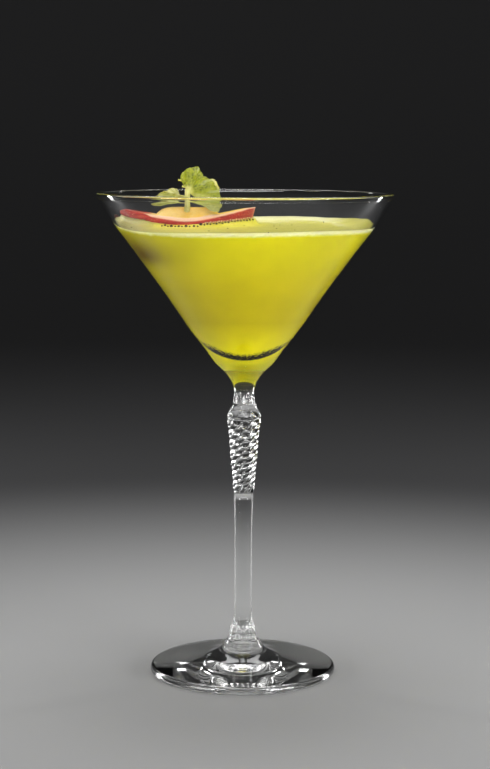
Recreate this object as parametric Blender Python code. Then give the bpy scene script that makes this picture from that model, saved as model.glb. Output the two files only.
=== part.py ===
"""Cocktail in a stemmed cone glass, with a slice of red-skinned fruit and a sprig of mint.

Metres, +Z up. The origin is the centre of the foot's underside, and the front faces -Y.
"""
import math

import bpy
from mathutils import Vector

# Clearance kept between neighbouring pieces
GAP = 0.0003

# Grid of the turned pieces: the stem's eight facets are also the eight ropes of its twist
LOBES = 8
LOBE_STEPS = 6
COLUMNS = LOBES * LOBE_STEPS
HALF_LOBE = math.pi / LOBES

# Foot
FOOT_RADIUS = 0.0364
FOOT_EDGE = 0.0033
FOOT_HOLLOW = 0.0010
FOOT_REST_INSIDE = 0.0260
FOOT_TOP = [(0.0348, 0.0033), (0.0250, 0.0044), (0.0143, 0.0062), (0.0092, 0.0090), (0.0068, 0.0121)]

# Stem stations: radius over the corners, height, share of the facets, share of the ropes
FLARE = [
    (0.0068, 0.0121, 0.0, 0.0), (0.0055, 0.0141, 0.1, 0.0), (0.0051, 0.0157, 0.4, 0.0),
    (0.0049, 0.0178, 0.8, 0.0), (0.0043, 0.0205, 1.0, 0.0), (0.0038, 0.0255, 1.0, 0.0),
]
SHAFT = [(0.0038, 0.0255, 1.0, 0.0), (0.0037, 0.0400, 1.0, 0.0), (0.0039, 0.0640, 1.0, 0.0),
         (0.0041, 0.0712, 1.0, 0.0)]
TWIST = [(0.0041, 0.0712, 1.0, 0.0), (0.0042, 0.0738, 0.0, 1.0), (0.0045, 0.0790, 0.0, 1.0),
         (0.0052, 0.0860, 0.0, 1.0), (0.0062, 0.0975, 0.0, 1.0), (0.0068, 0.1008, 0.2, 0.8)]
COLLAR = [(0.0068, 0.1008, 0.2, 0.8), (0.0070, 0.1022, 0.5, 0.0), (0.0060, 0.1041, 0.7, 0.0),
          (0.0048, 0.1062, 0.5, 0.0)]
NECK = [(0.0046, 0.1067, 1.0, 0.0), (0.0042, 0.1082, 1.0, 0.0), (0.0038, 0.1100, 0.5, 0.0),
        (0.0038, 0.1113, 0.0, 0.0)]
TWIST_LOW = 0.0720
TWIST_HIGH = 0.1010
TWIST_TURN = math.radians(315)
ROPE_DEPTH = 0.16

# Bowl: outside of the solid tip and of the cone, radius and height
BOWL = [(0.0038, 0.1113), (0.0046, 0.1145), (0.0076, 0.1189), (0.0109, 0.1220), (0.0155, 0.1283),
        (0.0180, 0.1314), (0.0311, 0.1500), (0.0446, 0.1685), (0.0498, 0.1754), (0.0543, 0.1823),
        (0.0567, 0.1866)]
BOWL_FLOOR = [(0.0040, 0.1241), (0.0085, 0.1251), (0.0125, 0.1272), (0.0151, 0.1294)]
FLOOR_HEIGHT = 0.1239
CONE_LOW = 0.1314
BOWL_SPACING = 0.0120
WALL_ACROSS = 0.00136
GLASS_HEIGHT = 0.1880

# Drink
DRINK_LEVEL = 0.1756

# Fruit slice: its skin edge is an arc towards the front, with both ends curled up
SLICE_MIDDLE = Vector((-0.0225, -0.0020))
SLICE_HALF_LENGTH = 0.0266
SLICE_SETBACK = {-1: 0.0125, 1: 0.0210}
SLICE_TIP_WIDTH = 0.0016
EDGE_HEIGHT = {-1: 0.1818, 0: 0.1785, 1: 0.1827}
UNDERSIDE_HEIGHT = {-1: 0.1788, 0: 0.1752, 1: 0.1778}
FLESH_SWELL = 0.0041
FLESH_HALF_LENGTH = 0.0122
SLICE_STATIONS = 22
FLESH_STEPS = 8

# Mint: a thick pale stem, a large leaf in front and a smaller one behind to the left
STEM_FOOT = Vector((-0.0227, 0.0030, 0.1787))
STEM_FORK = Vector((-0.0223, 0.0030, 0.1884))
STEM_RADIUS = 0.0010
LEAF_THICKNESS = 0.00045
LARGE_LEAF_REACH = {
    -38: 0.0108, -30: 0.0138, -16: 0.0136, 2: 0.0125, 18: 0.0122, 32: 0.0106, 48: 0.0092,
    61: 0.0097, 71: 0.0111, 84: 0.0100, 97: 0.0092, 110: 0.0078, 120: 0.0058,
}
SMALL_LEAF_BASE = Vector((-0.0252, 0.0050, 0.1866))
SMALL_LEAF_REACH = {
    112: 0.0028, 124: 0.0043, 138: 0.0052, 152: 0.0059, 165: 0.0074, 176: 0.0088, 187: 0.0112,
    196: 0.0116, 205: 0.0086,
}
BUD_ROOTS = [(117, 0.85), (113, 0.30)]
BUD_REACH = Vector((-0.0019, 0.0, 0.0003))
BUD_RADIUS = 0.0005


def clear_scene():
    for item in list(bpy.data.objects):
        bpy.data.objects.remove(item)


def material(name, colour, roughness, alpha=1.0, transmission=0.0):
    """A plain Principled material; colour is linear RGB."""
    made = bpy.data.materials.new(name)
    made.use_nodes = True
    shader = made.node_tree.nodes["Principled BSDF"]
    shader.inputs["Base Color"].default_value = (*colour, 1.0)
    shader.inputs["Roughness"].default_value = roughness
    shader.inputs["Metallic"].default_value = 0.0
    shader.inputs["Alpha"].default_value = alpha
    shader.inputs["Transmission Weight"].default_value = transmission
    return made


def add_object(name, vertices, faces, surface=None):
    mesh = bpy.data.meshes.new(name)
    mesh.from_pydata([tuple(point) for point in vertices], [], faces)
    mesh.update()
    mesh.shade_smooth()
    mesh.set_sharp_from_angle(angle=math.radians(40))
    if surface:
        mesh.materials.append(surface)
    made = bpy.data.objects.new(name, mesh)
    bpy.context.scene.collection.objects.link(made)
    return made


def hide_cutter(cutter):
    cutter.hide_render = True
    cutter.display_type = "WIRE"


def smooth(points, spacing):
    """Stations at most `spacing` apart on a smooth curve through the given ones."""
    points = [Vector(point) for point in points]
    spans = [(b - a).xy.length for a, b in zip(points, points[1:])]
    slopes = [(b - a) / span for a, b, span in zip(points, points[1:], spans)]
    tangents = [slopes[0]]
    for before, after, left, right in zip(slopes, slopes[1:], spans, spans[1:]):
        tangents.append((before * right + after * left) / (left + right))
    tangents.append(slopes[-1])
    curve = [points[0]]
    for i, span in enumerate(spans):
        steps = max(1, math.ceil(span / spacing))
        for step in range(1, steps + 1):
            curve.append(hermite(points[i:i + 2], tangents[i:i + 2], span, step / steps))
    return curve


def hermite(ends, tangents, span, t):
    """Point at share t of the cubic between two ends with the given tangents."""
    rise = t * t * (3 - 2 * t)
    leave = t * (1 - t) ** 2 * span
    arrive = -t * t * (1 - t) * span
    return ends[0] * (1 - rise) + ends[1] * rise + tangents[0] * leave + tangents[1] * arrive


def twist_angle(height):
    share = (height - TWIST_LOW) / (TWIST_HIGH - TWIST_LOW)
    return TWIST_TURN * min(max(share, 0.0), 1.0)


def section_radius(radius, facet, rope, phase):
    """Radius at a phase of -1 to 1 across a lobe: 0 is its corner or crest, 1 the next mid-facet."""
    facet_share = math.cos(HALF_LOBE) / math.cos(HALF_LOBE * (1 - abs(phase)))
    rope_share = 1 - ROPE_DEPTH * phase * phase
    return radius * (1 + facet * (facet_share - 1) + rope * (rope_share - 1))


def ring(station):
    """One ring of grid points at a station of radius, height and shares of facets and ropes."""
    radius, height, facet, rope = (*station, 0.0, 0.0)[:4]
    points = []
    for column in range(COLUMNS):
        offset = (column + LOBE_STEPS // 2) % LOBE_STEPS - LOBE_STEPS // 2
        reach = section_radius(radius, facet, rope, 2 * offset / LOBE_STEPS)
        angle = (column / LOBE_STEPS + 0.5) * 2 * HALF_LOBE + twist_angle(height)
        points.append((reach * math.cos(angle), reach * math.sin(angle), height))
    return points


def lathe(stations, start_height, end_height):
    """Vertices and faces of a body of rings, closed on the axis below its start and at its end."""
    vertices = [(0.0, 0.0, start_height)]
    for station in stations:
        vertices.extend(ring(station))
    vertices.append((0.0, 0.0, end_height))
    last = len(vertices) - 1
    faces = []
    for column in range(COLUMNS):
        here = 1 + column
        beside = 1 + (column + 1) % COLUMNS
        faces.append((0, beside, here))
        for row in range(len(stations) - 1):
            lower = row * COLUMNS
            upper = lower + COLUMNS
            faces.append((lower + here, lower + beside, upper + beside, upper + here))
        faces.append((last - COLUMNS - 1 + here, last - COLUMNS - 1 + beside, last))
    return vertices, faces


def arc(centre, radius, start, end, steps):
    """Points on an arc of the outline, angles in degrees from the outward direction."""
    angles = [math.radians(start + (end - start) * step / steps) for step in range(steps + 1)]
    return [(centre[0] + radius * math.cos(a), centre[1] + radius * math.sin(a)) for a in angles]


def foot_outline():
    """Dished underside, flat resting ring, round edge and the domed top."""
    dish = []
    for share in (0.35, 0.65, 0.85):
        lift = FOOT_HOLLOW * (1 - share * share) ** 2
        dish.append((FOOT_REST_INSIDE * share, lift))
    half_edge = FOOT_EDGE / 2
    edge_centre = (FOOT_RADIUS - half_edge, half_edge)
    edge = arc(edge_centre, half_edge, -90, 90, 6)
    return dish + [(FOOT_REST_INSIDE, 0.0)] + edge + smooth(FOOT_TOP, 0.0045)[1:-1]


def cavity_outline(clearance, top):
    """Inside of the bowl from its floor up to a height, less a clearance."""
    across = WALL_ACROSS + clearance * 1.24
    floor = [(radius, height + clearance) for radius, height in BOWL_FLOOR]
    outside = [station for station in smooth(BOWL, BOWL_SPACING) if station[1] >= CONE_LOW]
    cone = [(station[0] - across, station[1]) for station in outside if station[1] < top - 0.001]
    above = [station for station in outside if station[1] >= top - 0.001]
    if not above:
        return floor + cone
    below = cone[-1]
    share = (top - below[1]) / (above[0][1] - below[1])
    return floor + cone + [(below[0] + (above[0][0] - across - below[0]) * share, top)]


def lip_outline():
    """Rounded lip that joins the outside of the bowl to its inside."""
    inside, outside = BOWL[-1][0] - WALL_ACROSS, BOWL[-1][0]
    centre = ((inside + outside) / 2 + 0.0003, GLASS_HEIGHT - WALL_ACROSS / 2)
    return arc(centre, WALL_ACROSS / 2, 0, 180, 5)


def build_glass(surface):
    stem = smooth(FLARE, 0.0013) + smooth(SHAFT, 0.0130)[1:] + smooth(TWIST, 0.0017)[1:]
    neck = smooth(COLLAR, 0.0013)[1:] + smooth(NECK, 0.0012)
    outside = foot_outline() + stem + neck + smooth(BOWL, BOWL_SPACING)[1:] + lip_outline()
    inside = cavity_outline(0.0, GLASS_HEIGHT)
    vertices, faces = lathe(outside + inside[::-1], FOOT_HOLLOW, FLOOR_HEIGHT)
    return add_object("glass", vertices, faces, surface)


def build_drink(surface, neighbour):
    """The drink up to its level, cut round the slice that floats in it."""
    outline = cavity_outline(GAP, DRINK_LEVEL)
    vertices, faces = lathe(outline, FLOOR_HEIGHT + GAP, DRINK_LEVEL)
    drink = add_object("drink", vertices, faces, surface)
    cutter = swollen_copy(neighbour, "slice_clearance")
    cut(drink, cutter)
    return drink


def swollen_copy(source, name):
    """A cutter that stands the clearance proud of an object all over."""
    cutter = bpy.data.objects.new(name, source.data.copy())
    bpy.context.scene.collection.objects.link(cutter)
    normals = [vertex.normal.copy() for vertex in cutter.data.vertices]
    for vertex, normal in zip(cutter.data.vertices, normals):
        vertex.co += normal * GAP * 1.2
    return cutter


def cut(target, cutter):
    hide_cutter(cutter)
    modifier = target.modifiers.new("cut", "BOOLEAN")
    modifier.operation = "DIFFERENCE"
    modifier.object = cutter


def between(values, place):
    """Value at a place of -1 to 1 from those at the left end, the middle and the right end."""
    side = -1 if place < 0 else 1
    soft = 0.25
    share = (math.hypot(place, soft) - soft) / (math.hypot(1, soft) - soft)
    return values[0] + (values[side] - values[0]) * share


def slice_edges(place):
    """Front and back of the slice at a place of -1 to 1 along its length."""
    side = -1 if place < 0 else 1
    roundness = 0.9
    share = (1 - math.sqrt(1 - (roundness * place) ** 2)) / (1 - math.sqrt(1 - roundness ** 2))
    front = SLICE_MIDDLE.y + SLICE_SETBACK[side] * share
    chord = [SLICE_MIDDLE.y + SLICE_SETBACK[end] + SLICE_TIP_WIDTH for end in (-1, 1)]
    back = chord[0] + (chord[1] - chord[0]) * (place + 1) / 2
    return front, back + 0.002 * (1 - place * place)


def slice_section(place):
    """Closed section of the slice: skin, flesh, back edge and underside."""
    x = SLICE_MIDDLE.x + SLICE_HALF_LENGTH * place
    front, back = slice_edges(place)
    top = between(EDGE_HEIGHT, place)
    under = between(UNDERSIDE_HEIGHT, place)
    from_middle = min(abs(x - SLICE_MIDDLE.x) / FLESH_HALF_LENGTH, 1.0)
    swell = FLESH_SWELL * (1 - from_middle ** 3) ** 0.8
    skin = [(front + 0.0004, under), (front - 0.0001, (top + under) / 2), (front, top - 0.0005)]
    flesh = []
    inner = back - front - 0.0008
    for step in range(FLESH_STEPS + 1):
        share = step / FLESH_STEPS
        lift = swell * math.sin(math.pi * share) ** 0.9 if 0 < step < FLESH_STEPS else 0.0
        flesh.append((front + 0.0004 + inner * share, top + lift))
    rear = [(back, top - 0.0006), (back, under + 0.0006)]
    keel = [(front + 0.0008 + inner * share, under) for share in (0.9, 0.6, 0.3)]
    return [(x, y, z) for y, z in skin + flesh + rear + keel]


def build_slice(surface):
    sections = []
    for station in range(SLICE_STATIONS + 1):
        sections.append(slice_section(2 * station / SLICE_STATIONS - 1))
    size = len(sections[0])
    vertices = [point for section in sections for point in section]
    faces = [tuple(range(size))]
    for station in range(SLICE_STATIONS):
        for i in range(size):
            here = station * size + i
            beside = station * size + (i + 1) % size
            faces.append((here, here + size, beside + size, beside))
    faces.append(tuple(reversed(range(SLICE_STATIONS * size, (SLICE_STATIONS + 1) * size))))
    return add_object("fruit_slice", vertices, faces, surface)


def reach_at(reaches, angle):
    """Reach of a leaf's outline at an angle in degrees, between the named angles."""
    angles = sorted(reaches)
    for low, high in zip(angles, angles[1:]):
        if angle <= high:
            share = max(0.0, (angle - low) / (high - low))
            return reaches[low] + (reaches[high] - reaches[low]) * share
    return reaches[angles[-1]]


def large_leaf_point(angle, share):
    """Blade seen from the front as a fan about the fork; its tip leans back, its sides forward."""
    reach = reach_at(LARGE_LEAF_REACH, angle) * share
    off_rib = math.radians(angle - 43)
    lean = 0.0050 * math.cos(off_rib) - 0.0045 * math.sin(off_rib) ** 2
    ripple = 0.0006 * math.sin(math.radians(angle * 13)) * share
    depth = lean * share * share + ripple * share
    turn = math.radians(angle)
    return STEM_FORK + Vector((reach * math.cos(turn), depth, reach * math.sin(turn)))


def small_leaf_point(angle, share):
    """Blade that leans away to the back, so that the front sees it at a low angle."""
    reach = reach_at(SMALL_LEAF_REACH, angle) * share
    turn = math.radians(angle)
    up = reach * math.sin(turn)
    ripple = 0.0005 * math.sin(math.radians(angle * 17)) * share * share
    depth = 0.55 * reach + 0.7 * up + ripple
    return SMALL_LEAF_BASE + Vector((reach * math.cos(turn), depth, up))


def leaf(name, point, reaches, steps, rows):
    """Thin wavy solid whose front and back faces are split alike."""
    low, high = min(reaches), max(reaches)
    grid = []
    for row in range(rows + 1):
        share = 0.07 + 0.93 * row / rows
        grid.append([point(low + (high - low) * step / steps, share) for step in range(steps + 1)])
    front = [spot + Vector((0, -LEAF_THICKNESS / 2, 0)) for line in grid for spot in line]
    back = [spot + Vector((0, LEAF_THICKNESS / 2, 0)) for line in grid for spot in line]
    half = len(front)
    width = steps + 1
    faces = []
    for row in range(rows):
        for step in range(steps):
            a = row * width + step
            b, c, d = a + 1, a + 1 + width, a + width
            faces += [(a, d, c), (a, c, b)]
            faces += [(half + a, half + c, half + d), (half + a, half + b, half + c)]
    border = list(range(width))
    border += [row * width + steps for row in range(1, rows + 1)]
    border += [rows * width + step for step in range(steps - 1, -1, -1)]
    border += [row * width for row in range(rows - 1, 0, -1)]
    for a, b in zip(border, border[1:] + border[:1]):
        faces.append((a, b, half + b, half + a))
    return add_object(name, front + back, faces)


def rod(name, start, end, radius, sides=10):
    """Round bar with a domed end, from one point to another."""
    along = (end - start).normalized()
    across = along.orthogonal().normalized()
    around = along.cross(across)
    vertices = [start]
    dome = [(start, 1.0), (end, 1.0), (end + along * radius * 0.5, 0.75)]
    for centre, share in dome:
        for side in range(sides):
            turn = 2 * math.pi * side / sides
            spread = across * math.cos(turn) + around * math.sin(turn)
            vertices.append(centre + spread * radius * share)
    vertices.append(end + along * radius * 0.7)
    last = len(vertices) - 1
    faces = []
    for side in range(sides):
        here, beside = 1 + side, 1 + (side + 1) % sides
        faces.append((0, beside, here))
        for row in (0, sides):
            faces.append((row + here, row + beside, row + sides + beside, row + sides + here))
        faces.append((2 * sides + here, 2 * sides + beside, last))
    return add_object(name, vertices, faces)


def build_mint(surface):
    """Stem, two leaves and two buds, joined into one body."""
    stem = rod("mint_sprig", STEM_FOOT, STEM_FORK, STEM_RADIUS)
    stem.data.materials.append(surface)
    pieces = [
        leaf("large_leaf", large_leaf_point, LARGE_LEAF_REACH, 24, 5),
        leaf("small_leaf", small_leaf_point, SMALL_LEAF_REACH, 14, 4),
        rod("leaf_stalk", STEM_FORK - Vector((0, 0, 0.0022)), SMALL_LEAF_BASE, 0.0005, 6),
    ]
    for angle, share in BUD_ROOTS:
        root = large_leaf_point(angle, share)
        pieces.append(rod(f"bud_{angle}", root, root + BUD_REACH, BUD_RADIUS, 6))
    join(stem, pieces)
    return stem


def join(target, pieces):
    """Unite the pieces with the target, and drop the loose pieces."""
    group = bpy.data.collections.new("pieces_to_join")
    for piece in pieces:
        group.objects.link(piece)
    modifier = target.modifiers.new("join", "BOOLEAN")
    modifier.operation = "UNION"
    modifier.operand_type = "COLLECTION"
    modifier.collection = group
    bpy.context.view_layer.update()
    evaluated = target.evaluated_get(bpy.context.evaluated_depsgraph_get())
    joined = bpy.data.meshes.new_from_object(evaluated)
    target.modifiers.clear()
    target.data = joined
    for piece in pieces:
        bpy.data.objects.remove(piece)
    bpy.data.collections.remove(group)


def cut_stem_pit(fruit):
    """Pit in the flesh that the mint's stem stands in, clear of it all round."""
    bottom = STEM_FOOT - Vector((0, 0, GAP))
    top = STEM_FOOT + Vector((0, 0, 0.0060))
    cut(fruit, rod("stem_clearance", bottom, top, STEM_RADIUS + GAP))


def main():
    clear_scene()
    glass_surface = material("glass", (1.0, 1.0, 1.0), 0.02, 0.35, 1.0)
    drink_surface = material("drink", (0.62, 0.54, 0.004), 0.15)
    fruit_surface = material("fruit", (0.75, 0.42, 0.13), 0.35)
    mint_surface = material("mint", (0.38, 0.42, 0.06), 0.45)
    build_glass(glass_surface)
    fruit = build_slice(fruit_surface)
    build_drink(drink_surface, fruit)
    build_mint(mint_surface)
    cut_stem_pit(fruit)


main()
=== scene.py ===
"""Looks of a cocktail in a stemmed cone glass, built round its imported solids.

Metres, +Z up, in the row's frame: the origin is the centre of the foot's underside, and the
front faces -Y.
"""
import math
import random

import bpy
import numpy as np
from mathutils import Matrix, Vector, noise


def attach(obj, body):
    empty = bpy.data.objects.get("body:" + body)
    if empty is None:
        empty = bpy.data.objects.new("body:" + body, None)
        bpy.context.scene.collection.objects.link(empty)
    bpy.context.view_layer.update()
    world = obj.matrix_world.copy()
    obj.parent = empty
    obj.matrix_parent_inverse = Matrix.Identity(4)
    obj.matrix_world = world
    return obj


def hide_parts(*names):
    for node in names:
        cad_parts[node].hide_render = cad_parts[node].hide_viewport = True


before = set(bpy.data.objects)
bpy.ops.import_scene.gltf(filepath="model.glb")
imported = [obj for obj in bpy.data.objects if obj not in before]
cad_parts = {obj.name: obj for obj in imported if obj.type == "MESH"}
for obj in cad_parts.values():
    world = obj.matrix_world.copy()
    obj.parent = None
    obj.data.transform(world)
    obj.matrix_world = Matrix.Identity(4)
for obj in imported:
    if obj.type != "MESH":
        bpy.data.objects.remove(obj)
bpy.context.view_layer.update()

# Camera, as fitted to the rim's and the foot's ellipses
CAMERA_PLACE = Vector((0.0003, -0.7240, 0.2093))
CAMERA_TILT = math.radians(7.5)
CAMERA_ROLL = math.radians(0.33)
CAMERA_LENS = 88
CAMERA_CLIP = 0.01
SENSOR = 36

# Grid of the turned pieces: the stem's eight facets are also the eight ropes of its twist
LOBES = 8
HALF_LOBE = math.pi / LOBES
GLASS_LOBE_STEPS = 22
DRINK_LOBE_STEPS = 30

# Foot
FOOT_RADIUS = 0.0364
FOOT_EDGE = 0.0033
FOOT_HOLLOW = 0.0010
FOOT_REST_INSIDE = 0.0260
FOOT_DISH_STEPS = 12
FOOT_EDGE_STEPS = 16
DOME_SPACING = 0.0012
FLARE_SPACING = 0.00014
FOOT_TOP = [(0.0348, 0.0033), (0.0250, 0.0044), (0.0143, 0.0062), (0.0092, 0.0090),
            (0.0064, 0.0126)]

# Stem stretches: radius over the corners, height, and shares of the facets, ropes and flutes
STEM = [
    [(0.0064, 0.0126, 0.0, 0.0), (0.0060, 0.0130, 0.0, 0.0), (0.0057, 0.0135, 0.0, 0.0)],
    [(0.0056, 0.0139, 0.3, 0.0, 1.0), (0.0053, 0.0158, 0.3, 0.0, 1.0),
     (0.0051, 0.0174, 0.3, 0.0, 1.0)],
    [(0.0048, 0.0178, 0.5, 0.0, 0.7), (0.0045, 0.0190, 0.8, 0.0, 0.5),
     (0.0044, 0.0202, 1.0, 0.0, 0.2)],
    [(0.0042, 0.0206, 1.0, 0.0), (0.0038, 0.0255, 1.0, 0.0), (0.0037, 0.0400, 1.0, 0.0),
     (0.0039, 0.0640, 1.0, 0.0), (0.0041, 0.0712, 1.0, 0.0)],
    [(0.0041, 0.0712, 1.0, 0.0), (0.0042, 0.0738, 0.0, 1.0), (0.0045, 0.0790, 0.0, 1.0),
     (0.0052, 0.0860, 0.0, 1.0), (0.0062, 0.0975, 0.0, 1.0), (0.0068, 0.1008, 0.1, 0.9)],
    [(0.0068, 0.1008, 0.1, 0.9), (0.0070, 0.1019, 0.6, 0.0)],
    [(0.0070, 0.1021, 0.8, 0.0), (0.0062, 0.1038, 0.8, 0.0), (0.0056, 0.1046, 0.6, 0.0)],
    [(0.0052, 0.1048, 0.0, 0.0), (0.0047, 0.1064, 0.0, 0.0)],
    [(0.0045, 0.1067, 0.2, 0.0, 1.0), (0.0042, 0.1082, 0.2, 0.0, 1.0),
     (0.0039, 0.1103, 0.0, 0.0, 0.8)],
    [(0.0039, 0.1106, 0.0, 0.0), (0.0038, 0.1113, 0.0, 0.0)],
]
TWIST_LOW = 0.0720
TWIST_HIGH = 0.1010
TWIST_TURN = math.radians(315)
ROPE_DEPTH = 0.14
FLUTE_DEPTH = 0.08
RINGS_LOW = 0.0098
RINGS_HIGH = 0.0127
RINGS_FADE = 0.0006
RING_PITCH = 0.0007
RING_DEPTH = 0.00006
EDGE_SHARPNESS = 40
STEM_SPACING = 0.00035
SHAFT_SPACING = 0.0030
SHAFT_LENGTH = 0.04

# Bowl: outside of the solid tip and of the cone, radius and height
BOWL = [(0.0038, 0.1113), (0.0046, 0.1145), (0.0076, 0.1189), (0.0109, 0.1220), (0.0155, 0.1283),
        (0.0180, 0.1314), (0.0311, 0.1500), (0.0446, 0.1685), (0.0498, 0.1754), (0.0543, 0.1823),
        (0.0567, 0.1866)]
BOWL_FLOOR = [(0.0040, 0.1241), (0.0085, 0.1251), (0.0125, 0.1272), (0.0151, 0.1294)]
FLOOR_HEIGHT = 0.1239
CONE_LOW = 0.1314
WALL_ACROSS = 0.00136
ACROSS_PER_CLEARANCE = 1.24
GLASS_HEIGHT = 0.1880
BOWL_SPACING = 0.0016
FLOOR_START = 0.0004
FLOOR_SPACING = 0.0008
TOP_MARGIN = 0.0003
LIP_OUTWARD = 0.0003
LIP_STEPS = 14

# Drink
DRINK_LEVEL = 0.1756
INTO_WALL = 0.0001
CRESCENT_TOP = 0.1340
SURFACE_LEVEL = DRINK_LEVEL - 0.0003
INNER_RADIUS = 0.0484
DRINK_WALL_TOP = DRINK_LEVEL - 0.0014
CRESCENT_ROWS = 4
SURFACE_STEPS = 70
SURFACE_CROWDING = 0.9
RIPPLE_HEIGHT = 0.00010
RIPPLE_SCALE = 260
RIPPLE_FROM_WALL = 0.002

# Froth: how it falls off from the slice, climbs the wall, and the pale line of it on the wall
FROTH_FALL = 0.0024
FROTH_FALL_POWER = 0.9
CLIMB_REACH = 0.0018
CLIMB_REACH_MORE = 0.0016
CLIMB_RAGGED = 0.0004
CLIMB_RAGGED_SCALE = 6.0
BAND_AT_LEFT = 0.0008
BAND_MORE = 0.0009
BAND_FROM, BAND_TO = -0.042, -0.018

# Painted shade in the drink, a soft brown darkening at the left: angle in degrees, height, spreads
# and strength
SHADE_ANGLE = 204
SHADE_ANGLE_SPREAD = 23
SHADE_HEIGHT = 0.1655
SHADE_BELOW = 0.0042
SHADE_ABOVE = 0.0068
SHADE_SHARE = 0.88

# Painted dark crescent, painted shade for the dark edge of the drink's rounded bottom seen through
# the glass: its middle line as a curve in millimetres, where it fades, half its width
CRESCENT_CURVE = (-10.9, 0.0105, 0.000045)
CRESCENT_FADE = (11.0, 17.0)
CRESCENT_HALF = 0.0008
SPECK_SCALE = 1500

# Colour of the froth: reach of the bright part at the slice and of the pale part at the wall
BRIGHT_REACH = 0.014
BRIGHT_FROM = -0.035
BRIGHT_AT_LEFT = 0.15
PALE_START = 0.0002
PALE_WIDTH = 0.0009
PALE_WIDTH_MORE = 0.0022
PALE_WIDENS_TO = 0.030
PALE_FADES_FROM, PALE_FADES_TO = 0.032, 0.043

# How far above the level the froth meets the wall, by angle in degrees from the right
WALL_CLIMB = [(-180, 0.0024), (-172, 0.0016), (-163, 0.0004), (-150, -0.0006), (-138, -0.0009),
              (-122, -0.0007), (-90, -0.0002), (-60, 0.0002), (-12, 0.0002), (0, 0.0010),
              (8, 0.0017), (16, 0.0021), (35, 0.0021), (90, 0.0020), (150, 0.0022),
              (165, 0.0026), (180, 0.0024)]

# Height to which froth covers the slice's near side, by place along the slice
FROTH_EDGE = [(-1.0, 0.1787), (-0.66, 0.1781), (-0.5, 0.1770), (-0.36, 0.1765), (-0.19, 0.1762),
              (0.03, 0.1764), (0.39, 0.1771), (0.65, 0.1777), (1.0, 0.17795)]

# Row of bubbles below the slice's near edge: across the glass and height
BUBBLE_ROW = [(-0.0318, 0.1757), (-0.0305, 0.1756), (-0.0272, 0.1754), (-0.0227, 0.1753),
              (-0.0192, 0.1755), (-0.0169, 0.1760), (-0.0143, 0.1763), (-0.0107, 0.1766),
              (-0.0070, 0.1769), (-0.0033, 0.1773), (0.0003, 0.1775), (0.0036, 0.1777)]
SPARSE_UP_TO = -0.0165
SPARSE_SIZES = (0.00036, 0.00050, 0.00038, 0.00062)
DENSE_SIZES = (0.00036, 0.00044)
BUBBLE_SPREAD = (0.00004, 0.00020)
SPARSE_STEP = (0.0009, 0.0015)
DENSE_STEP = (0.00108, 0.00124)
LOOSE_BUBBLES = 24
LOOSE_SIZES = (0.00010, 0.00022)
LOOSE_RADIUS = 0.047
BEADS_FROM = -0.0160
BEAD_SIZES = (0.00020, 0.00030)
BEAD_RISE = (0.00060, 0.00085)
BEAD_STEP = (0.0006, 0.0010)

# Fruit slice: its skin edge is an arc towards the front, with both ends curled up
SLICE_MIDDLE = Vector((-0.0225, -0.0020))
SLICE_HALF_LENGTH = 0.0266
SLICE_SETBACK = {-1: 0.0125, 1: 0.0210}
SLICE_TIP_WIDTH = 0.0016
EDGE_HEIGHT = {-1: 0.1818, 0: 0.1785, 1: 0.1827}
UNDERSIDE_HEIGHT = {-1: 0.1788, 0: 0.1752, 1: 0.1778}
FLESH_SWELL = 0.0041
FLESH_HALF_LENGTH = 0.0122
SLICE_STATIONS = 130
SLICE_ROUNDNESS = 0.9
EDGE_ROUND = 0.0006
BACK_DROP = 0.0003
FRONT_STEPS = 24
ROUND_STEPS = 6
TOP_STEPS = 36
UNDER_STEPS = 12
END_SLANT = 0.0012
SLICE_END = 0.0031

# Mint: a thick pale stem, a large leaf in front and a smaller one behind to the left
STEM_FOOT = Vector((-0.0227, 0.0030, 0.1787))
STEM_FORK = Vector((-0.0223, 0.0030, 0.1884))
LEAF_THICKNESS = 0.00040
LEAF_STEPS = 150
LEAF_ROWS = 46
LEAF_RELIEF = 0.00045
LEAF_CRINKLE = 0.00030
STALK_SIDES = 20
STALK_STEPS = 24
STEM_RADII = (0.0011, 0.0008)
BRANCH_RADII = (0.0005, 0.0003)
BUD_RADII = (0.00028, 0.00034)
BUD_ROOTS = ((117, 0.85), (113, 0.30))

# Leaves: reach of the outline by angle in degrees, angle of the rib, distance between side veins
LARGE_LEAF_REACH = {
    -38: 0.0108, -30: 0.0138, -16: 0.0136, -6: 0.0123, 2: 0.0124, 11: 0.0116, 18: 0.0114,
    25: 0.0111, 30: 0.0094, 38: 0.0087, 45: 0.0082, 51: 0.0089, 59: 0.0090, 66: 0.0099,
    72: 0.0098, 80: 0.0092, 90: 0.0085, 98: 0.0078, 110: 0.0068, 120: 0.0049,
}
LARGE_LEAF_RIB = 43
LARGE_LEAF_VEINS = 0.0023
SMALL_LEAF_BASE = Vector((-0.0252, 0.0050, 0.1866))
SMALL_LEAF_REACH = {
    112: 0.0019, 117: 0.0030, 124: 0.0031, 138: 0.0043, 152: 0.0050, 159: 0.0054, 165: 0.0065,
    176: 0.0082, 187: 0.0107, 196: 0.0112, 205: 0.0084,
}
SMALL_LEAF_RIB = 190
SMALL_LEAF_VEINS = 0.0019

# Studio
# Radii of the floor's painted pool of light: pale within the first, dark beyond the second
FLOOR_PALE = 0.09
FLOOR_DARK = 0.44
FLOOR_EDGE = 1.2
SWEEP = 0.9
SWEEP_STEPS = 16
WALL_TOP = 2.2
FLOOR_RINGS = (0.2, 0.6)
FLOOR_COLUMNS = 96
FLOOR_DROP = 0.0001
PALE_GREY = (0.27, 0.27, 0.27)
DARK_GREY = (0.03, 0.03, 0.031)
AMBIENT = 0.10

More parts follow.
